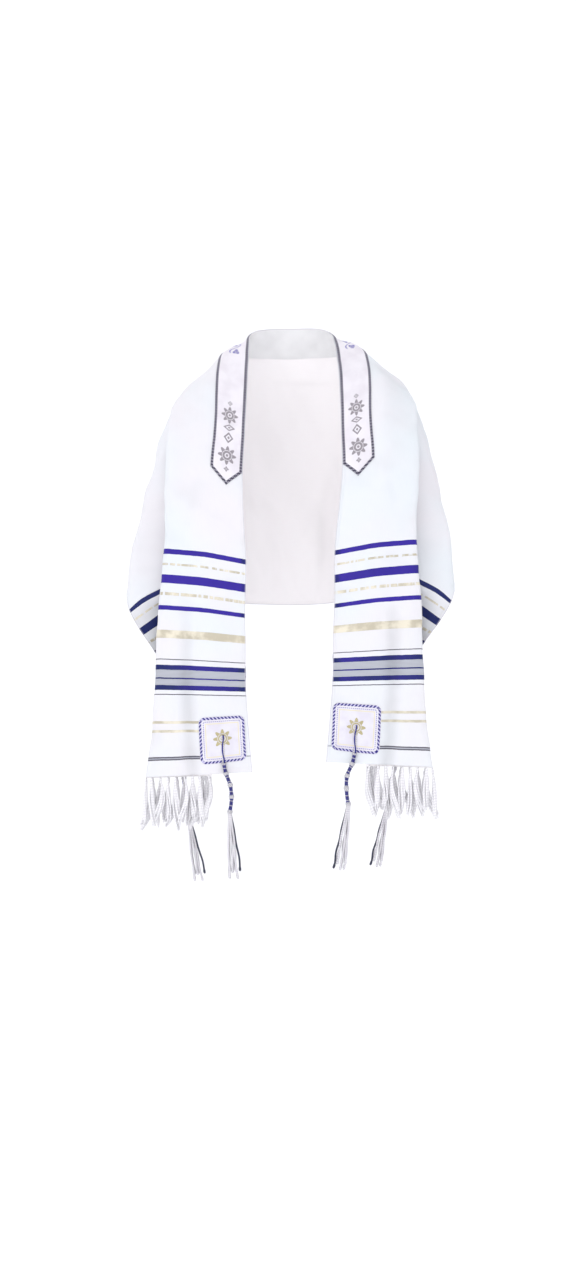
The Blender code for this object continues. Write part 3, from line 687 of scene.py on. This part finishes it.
def patchPiece(name, node, side, uMiddle, vMiddle, half, slopeTop, slopeSides, paint):
    # a square grid with each corner cell drawn onto a quarter disc, pulled slightly askew
    s = patch
    ratio = s["round"] / half
    line = np.linspace(-1, 1, s["steps"])
    ways = np.array(np.meshgrid(line, line, indexing="ij"))
    over = np.maximum(np.abs(ways) - 1 + ratio, 0) / ratio
    reach = np.minimum(np.abs(ways), 1 - ratio) + ratio * over * np.sqrt(1 - over[::-1] ** 2 / 2)
    x, y = np.sign(ways) * reach * half
    # distance from the rim: straight off a side, and from the arc in a corner
    deep = np.abs([x, y]) - half + s["round"]
    edge = s["round"] - np.hypot(*np.maximum(deep, 0)) - np.minimum(deep.max(axis=0), 0)
    u = side * (uMiddle + x + y * slopeTop)
    v = vMiddle + y + x * slopeSides
    u, v, x, y, edge = (part[::side] for part in (u, v, x, y, edge))
    middle, normal = onCloth(u, v)
    low = cloth["wall"] / 2 + s["gap"]
    high = low + s["wall"] - bevel(edge, *s["bevel"])
    piece = closedSheet(name, middle + normal * high[..., None], middle + normal * low, paint,
                        np.stack([x, y], axis=2), {"edge": edge, "round": np.where(abs(x) > abs(y), y, x)})
    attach(piece, "root")
    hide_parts(node)
    return piece


patchWeave = patchPaint()
patchSheets = [patchPiece(*facts, patchWeave) for facts in patch["each"]]
print("corner patches made")


def squareTo(tangent):
    # a unit vector square to a path and nearly in the plane of the front
    return unit(np.cross(tangent, np.array([0.0, 1.0, 0.04])))


def tubes(paths, radii, sides):
    # rings round many paths at once, on two axes square to the path; both ends are closed by a point
    n, m = paths.shape[:2]
    tangent = unit(np.gradient(paths, axis=1))
    side = squareTo(tangent)
    front = np.cross(side, tangent)
    angle = np.linspace(0, 2 * math.pi, sides, endpoint=False)[None, None, :]
    sideways, forwards = (radii[..., None] * wave(angle) for wave in (np.cos, np.sin))
    ring = paths[:, :, None] + side[:, :, None] * sideways[..., None]
    ring = ring + front[:, :, None] * forwards[..., None]
    along = distances(paths)
    number = np.arange(n * m * sides).reshape(n, m, sides)
    ahead = np.roll(number, -1, axis=2)
    wall = np.stack([number[:, :-1], number[:, 1:], ahead[:, 1:], ahead[:, :-1]], axis=-1).reshape(-1, 4)
    tops = n * m * sides + np.arange(n)
    tops, ends = (np.repeat(point[:, None], sides, axis=1) for point in (tops, tops + n))
    cap = np.stack([ahead[:, 0], tops, number[:, 0]], axis=-1).reshape(-1, 3)
    foot = np.stack([number[:, -1], ends, ahead[:, -1]], axis=-1).reshape(-1, 3)
    points = np.concatenate([ring.reshape(-1, 3), paths[:, 0] - tangent[:, 0] * radii[:, :1] * 0.3,
                             paths[:, -1] + tangent[:, -1] * radii[:, -1:] * 0.5])
    uv = np.stack([np.broadcast_to(along[..., None], (n, m, sides)),
                   np.broadcast_to(angle / (2 * math.pi), (n, m, sides))], axis=-1).reshape(-1, 2)
    uv = np.concatenate([uv, *(np.stack([along[:, end], np.zeros(n)], axis=1) for end in (0, -1))])
    return points, [wall[:, ::-1], cap[:, ::-1], foot[:, ::-1]], uv


def gathered(parts):
    # several sets of tubes, each with its dye, as one list of points, faces, UV and dye
    points, faces, uv, tint = [], [], [], []
    start = 0
    for (somePoints, someFaces, someUv), share in parts:
        points.append(somePoints)
        uv.append(someUv)
        tint.append(np.broadcast_to(share, len(somePoints)))
        for group in someFaces:
            faces += (group + start).tolist()
        start += len(somePoints)
    return np.concatenate(points), faces, np.concatenate(uv), np.concatenate(tint)


def yarnPaint(name, pale, shadow, twist, blues=None, dark=None):
    # twisted yarn: slanting lines round and along it, each ply painted lighter on its crown and darker in its
    # groove as painted light and shade; where it is dyed, 1 is blue and 2 is dark
    paint, tree, shader = newPaint(name, 0.85, 0.3)
    spot, along, about = clothPlaces(tree)
    slant = scaled(about, 2 * math.pi * 2, times(along, 2 * math.pi / twist))
    ply = scaled(maths("SINE", slant), 0.5, 0.5)
    fuzz = noise(spot, 420, 2, (1, 0.02, 1))
    colour = mixed(ply, dye(shadow), dye(pale))
    if blues:
        dyed = attribute(tree, "dyed")
        # the blue is painted lit and shaded along its ply in the same way, as painted light and shade
        colour = mixed(dyed, colour, mixed(ply, *dyes(blues)))
        colour = mixed(rise(dyed, 1.2, 1.8), colour, dye(dark))
    fed(shader, {"Base Color": colour})
    bump(shader, scaled(fuzz, 0.4, ply), 0.00035)
    return paint


# The fringe: full bundles of soft yarn out of the cloth's ends, each gathered by a knot near its root.
fringe = {
    "first": 0.076, "last": 0.414, "step": 0.0141, "gap": 0.0006, "length": 0.076,
    "rings": 26, "yarns": 7, "sides": 6,
    # share of the length, distance of a yarn from its bundle's middle, radius of a yarn, in mm
    "profile": np.array([
        (0, 0.5, 0.7), (0.05, 0.8, 1.0), (0.11, 1.4, 1.3), (0.16, 0.8, 1.0), (0.28, 2.2, 1.4),
        (0.50, 3.5, 1.8), (0.72, 3.9, 1.9), (0.88, 3.4, 1.8), (0.96, 2.6, 1.3), (1.0, 2.0, 0.6)]),
    # colours of the yarn's lit and shaded ply, length of one twist
    "yarn": ("F3F2F4", "DDDBE0", 0.0046),
}


def fringePiece(name, node, side, paint):
    # every yarn of every bundle as one path: bundles vary in length, lean and width, yarns twist slowly
    s = fringe
    count = int(round((s["last"] - s["first"]) / s["step"])) + 1
    v = np.linspace(s["first"], s["last"], count)
    number = np.arange(count)
    end = np.full(count, side * cloth["length"] / 2)
    root = onCloth(end, v)[0]
    down = unit(root - onCloth(end - side * 0.004, v)[0])
    share = np.linspace(0, 1, s["rings"])
    length = s["length"] * (1 + 0.08 * np.sin(2.3 * number + side) + 0.05 * np.sin(5.1 * number))
    lean = np.stack([0.0085 * np.sin(2.1 * number + 1.4 * side) + side * 0.003, 0.0045 * np.cos(1.3 * number),
                     np.zeros(count)], axis=1)
    drop = (share * length[:, None])[..., None]
    bow = np.sin(math.pi * share)[None, :, None] * lean[:, None] * np.array([-0.6, 0.6, 1])
    hang = unit(down * 0.35 + np.array([0, 0, -0.65]))
    path = root[:, None] + down[:, None] * s["gap"] + hang[:, None] * drop + bow
    path = path + lean[:, None] * (share ** 1.5)[None, :, None]
    yarn = np.arange(s["yarns"])[None, :, None]
    bundle = number[:, None, None]
    wide = np.interp(share, s["profile"][:, 0], s["profile"][:, 1])[None, None] * mm
    wide = wide * (1 + 0.22 * np.sin(3.7 * bundle)) * (0.8 + 0.35 * np.sin(1.9 * yarn + bundle))
    turn = 2 * math.pi * yarn / s["yarns"] + 1.7 * bundle + share * (2.2 + 0.8 * np.sin(bundle + yarn))
    apart = np.stack([np.cos(turn) * wide, 0.75 * np.sin(turn) * wide, np.zeros(turn.shape)], axis=-1)
    apart[..., 2] += 0.006 * np.sin(2.7 * yarn + 1.1 * bundle) * share ** 2
    lines = (path[:, None] + apart).reshape(-1, s["rings"], 3)
    thick = np.interp(share, s["profile"][:, 0], s["profile"][:, 2])[None] * mm
    thick = thick * (1 + 0.12 * np.sin(3.1 * np.arange(len(lines)))[:, None])
    points, faces, uv, _ = gathered([(tubes(lines, thick, s["sides"]), 0.0)])
    piece = meshPiece(name, points, faces, paint, uv, {}, 180)
    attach(piece, "root")
    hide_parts(node)
    return piece


fringeYarn = yarnPaint("fringeYarn", *fringe["yarn"])
fringes = [fringePiece("fringeLeft", "fringe_left", -1, fringeYarn),
           fringePiece("fringeRight", "fringe_right", 1, fringeYarn)]
print("fringe made")

# The corner tassels: a cord out of the patch's eyelet, wound and knotted, then eight loose strands.
tassel = {
    # name, node, side, v of its patch, path in mm to where the strands begin, where the strands end
    "each": [
        ("tasselFrontLeft", "tassel_front_left", -1, 0.0465,
         [(-99, -134, -789), (-97, -133, -808), (-100, -134, -835)], (-94, -132, -938)),
        ("tasselFrontRight", "tassel_front_right", 1, 0.0465,
         [(95, -134, -772), (94, -135, -800), (97, -134, -822)], (84, -132, -924)),
        ("tasselRearLeft", "tassel_rear_left", -1, 0.4600,
         [(-185, 42, -810), (-176, 42, -838), (-177, 43, -867)], (-161, 43, -968)),
        ("tasselRearRight", "tassel_rear_right", 1, 0.4600,
         [(179, 42, -794), (167, 42, -822), (169, 43, -850)], (153, 43, -944))],
    "core": 0.0021, "thread": 0.00085, "pitch": 0.00160, "lead": 0.046, "strand": 0.00165,
    "leadCord": 0.00115, "sway": 0.0013,
    # where the knots are, as shares of the wound part, their half length and how much fatter they are
    "knots": [0.0, 0.22, 0.45, 0.68, 0.97], "knotHalf": 0.035, "swell": 0.85,
    # colours of the yarn's lit and shaded ply as painted light and shade, length of one twist, the blue's
    # shaded and lit ply, the dark strand
    "yarn": ("EDEBEE", "B4B1BA", 0.0030, ("1A1F60", "413C9C"), "3B3D4E"),
    "strandRings": 44, "strandSides": 8, "spread": (0.0064, 0.0050, 0),
}


def throughPoints(knots, count):
    # cubic curve through the knots, at even distances, whose slope at a knot comes from those beside it
    along = np.concatenate([[0], np.linalg.norm(np.diff(knots, axis=0), axis=1).cumsum()])
    slopes = np.gradient(knots, along, axis=0)
    stops = np.linspace(0, along[-1], count)
    i = np.clip(np.searchsorted(along, stops, side="right") - 1, 0, len(along) - 2)
    span = (along[i + 1] - along[i])[:, None]
    t = (stops - along[i])[:, None] / span
    start = (1 + 2 * t) * (1 - t) ** 2 * knots[i] + t * (1 - t) ** 2 * span * slopes[i]
    return start + t * t * (3 - 2 * t) * knots[i + 1] + t * t * (t - 1) * span * slopes[i + 1], stops


def tasselPiece(name, node, side, vMiddle, path, end, paint):
    s = tassel
    spots, normals = onCloth(side * np.array([patch["eyelet"], 0.918]), np.full(2, vMiddle))
    out = cloth["wall"] / 2 + patch["gap"] + patch["wall"] + np.array([0.0016, 0.0058])
    knots = np.vstack([spots + normals * out[:, None], np.array(path) * mm])
    spine, stops = throughPoints(knots, 220)
    total = stops[-1]
    axis = squareTo(np.gradient(spine, axis=0))
    parts = []
    # the lead: two plain cords side by side, that cross once on the way to the first knot
    lead = stops <= s["lead"] + 0.002
    sway = np.cos(stops[lead] / s["lead"] * math.pi * 2.0)[:, None] * s["sway"]
    inward = 0.0011 * normals[:1]
    for way, tint in ((1, 1.0), (-1, 0.0)):
        line = spine[lead] + axis[lead] * sway * way + inward * way * 0.4
        parts.append((tubes(line[None], np.full((1, len(line)), s["leadCord"]), 8), tint))
    # the wound part: a core, fatter at its knots, and a thread wound round it, blue between the knots but for
    # every fifth turn
    share = np.clip((stops - s["lead"]) / (total - s["lead"]), 0, 1)
    bulge = sum(np.exp(-((share - k) / s["knotHalf"]) ** 2) for k in s["knots"])
    fat = s["core"] * (1 + s["swell"] * np.clip(bulge, 0, 1))
    parts.append((tubes(spine[None, ~lead], fat[None, ~lead], 10), 0.0))
    turns = np.linspace(s["lead"], total, 640)
    read = [np.interp(turns, stops, column) for column in (*spine.T, *axis.T, fat)]
    middle, across = np.stack(read[:3], axis=1), np.stack(read[3:6], axis=1)
    through = unit(np.cross(across, np.gradient(middle, axis=0)))
    angle = (turns - s["lead"]) / s["pitch"] * 2 * math.pi
    reach = (read[6] + s["thread"] * 0.35)[:, None]
    helix = middle + (across * np.cos(angle)[:, None] + through * np.sin(angle)[:, None]) * reach
    blue = 1 - smoothStep(0.25, 0.5, np.interp(turns, stops, bulge))
    blue = blue * np.where(np.mod(angle / (2 * math.pi), 5) < 1, 0.2, 1)
    tint = np.concatenate([np.repeat(blue, 6), blue[:1], blue[-1:]])
    parts.append((tubes(helix[None], np.full((1, len(helix)), s["thread"]), 6), tint))
    # the strands: eight ends that part below the last knot, one of them dark and further out
    t = np.linspace(0, 1, s["strandRings"])
    number = np.arange(8)
    cells = np.array([(-1, -1), (0, -1), (1, -1), (1, 0), (1, 1), (0, 1), (-1, 1), (-1, 0)], float)
    apart = np.concatenate([cells, np.zeros((8, 1))], axis=1)
    foot = np.array(end) * mm + apart * np.array(s["spread"])
    foot[:, 2] += 0.006 * np.sin(3.1 * number + side)
    outer = 3 if side < 0 else 7
    foot[outer] += np.array([-side * 0.006, -0.002, 0.002])
    top = spine[-1] + apart * 0.0016
    line = top[:, None] + (foot - top)[:, None] * t[None, :, None]
    bow = 0.0010 * np.sin(math.pi * t) * (0.6 + 0.4 * np.sin(number))[:, None]
    line = line + apart[:, None] * bow[..., None]
    wobble = np.sin(t[None, :] * (9 + number[:, None]) + 1.7 * number[:, None]) * t[None, :] * 0.0011
    line = line + np.stack([wobble, -0.6 * wobble, np.zeros_like(wobble)], axis=-1)
    radius = s["strand"] * (1 + 0.7 * np.exp(-((t - 0.965) / 0.014) ** 2))
    dark = np.where(number == outer, 2.0, 0.0)
    tint = np.concatenate([np.repeat(dark, s["strandRings"] * s["strandSides"]), dark, dark])
    parts.append((tubes(line, np.tile(radius, (8, 1)), s["strandSides"]), tint))
    points, faces, uv, tint = gathered(parts)
    piece = meshPiece(name, points, faces, paint, uv, {"dyed": tint}, 180)
    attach(piece, "root")
    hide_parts(node)
    return piece


tasselYarn = yarnPaint("tasselYarn", *tassel["yarn"])
tassels = [tasselPiece(*facts, tasselYarn) for facts in tassel["each"]]
print("tassels made")

# A pale round floor that curves up into a plain wall on all sides, soft lights, and the camera.
studio = {
    "floor": -1.45, "radius": 5.2, "bend": 1.2, "height": 6.0, "pale": ("FAFAFB", "F6F6F8"), "glow": 0.10,
    # place, size, watts, tint
    "lights": [((-1.5, -3.3, 0.6), 2.2, 20, (1, 0.99, 0.99)), ((1.5, -3.3, -0.4), 2.2, 5, (0.98, 0.98, 1)),
               ((0, -2.7, -1.0), 0.5, 7, (1, 1, 1)), ((-0.3, 0.4, 2.4), 1.8, 9, (1, 1, 1)),
               ((-2.8, 1.0, 0.8), 0.6, 8, (1, 1, 1))],
    "lens": 50.52, "camera": (0.0, -3.115, -0.4876), "shift": (-2 / 1280, -36 / 1280), "sky": 1.0,
}


def backdrop():
    # a profile of floor, quarter circle and wall, turned all the way round z; the seam column is shared
    s = studio
    bend = np.linspace(0, math.pi / 2, 20)
    out = np.concatenate([np.linspace(0.02, s["radius"], 12)[:-1], s["radius"] + s["bend"] * np.sin(bend),
                          [s["radius"] + s["bend"]]])
    up = np.concatenate([np.zeros(11), s["bend"] * (1 - np.cos(bend)), [s["height"]]]) + s["floor"]
    count = 72
    angle = np.linspace(0, 2 * math.pi, count, endpoint=False)[None, :]
    points = np.broadcast_arrays(out[:, None] * np.cos(angle), out[:, None] * np.sin(angle), up[:, None])
    points = np.stack(points, axis=2)
    number = np.arange(len(out) * count).reshape(len(out), count)
    ahead = np.roll(number, -1, axis=1)
    faces = np.stack([number[:-1], number[1:], ahead[1:], ahead[:-1]], axis=-1).reshape(-1, 4).tolist()
    faces.append(number[0].tolist())
    paint, tree, shader = newPaint("studioPale", 0.9, 0.0)
    place = tree.nodes.new("ShaderNodeTexCoord")
    colour = mixed(noise(place.outputs["Object"], 0.8, 1), *dyes(s["pale"]))
    fed(shader, {"Base Color": colour, "Emission Color": (1, 1, 1, 1), "Emission Strength": s["glow"]})
    points = points.reshape(-1, 3)
    floor = meshPiece("studioFloor", points, faces, paint, points[:, :2], {}, 180)


def lightsAndCamera():
    scene = bpy.context.scene
    for k, (place, size, watts, tint) in enumerate(studio["lights"]):
        lamp = bpy.data.lights.new(f"softLight{k}", "AREA")
        lamp.size = size
        lamp.energy = watts
        lamp.color = tint
        holder = bpy.data.objects.new(f"softLight{k}", lamp)
        holder.location = place
        away = np.array([0, 0, -0.45]) - place
        turn = math.atan2(away[1], away[0]) - math.pi / 2
        holder.rotation_euler = (math.atan2(math.hypot(away[0], away[1]), -away[2]), 0, turn)
        scene.collection.objects.link(holder)
    world = bpy.data.worlds.new("studioWorld")
    world.use_nodes = True
    fed(world.node_tree.nodes["Background"], {"Color": (0.97, 0.98, 1.0, 1), "Strength": studio["sky"]})
    scene.world = world
    view = bpy.data.cameras.new("photoCamera")
    view.lens = studio["lens"]
    view.sensor_width = 36
    view.shift_x, view.shift_y = studio["shift"]
    camera = bpy.data.objects.new("photoCamera", view)
    camera.location = studio["camera"]
    camera.rotation_euler = (math.pi / 2, 0, 0)
    scene.collection.objects.link(camera)
    scene.camera = camera
    scene.view_settings.view_transform = "Standard"


backdrop()
lightsAndCamera()
print("studio made")
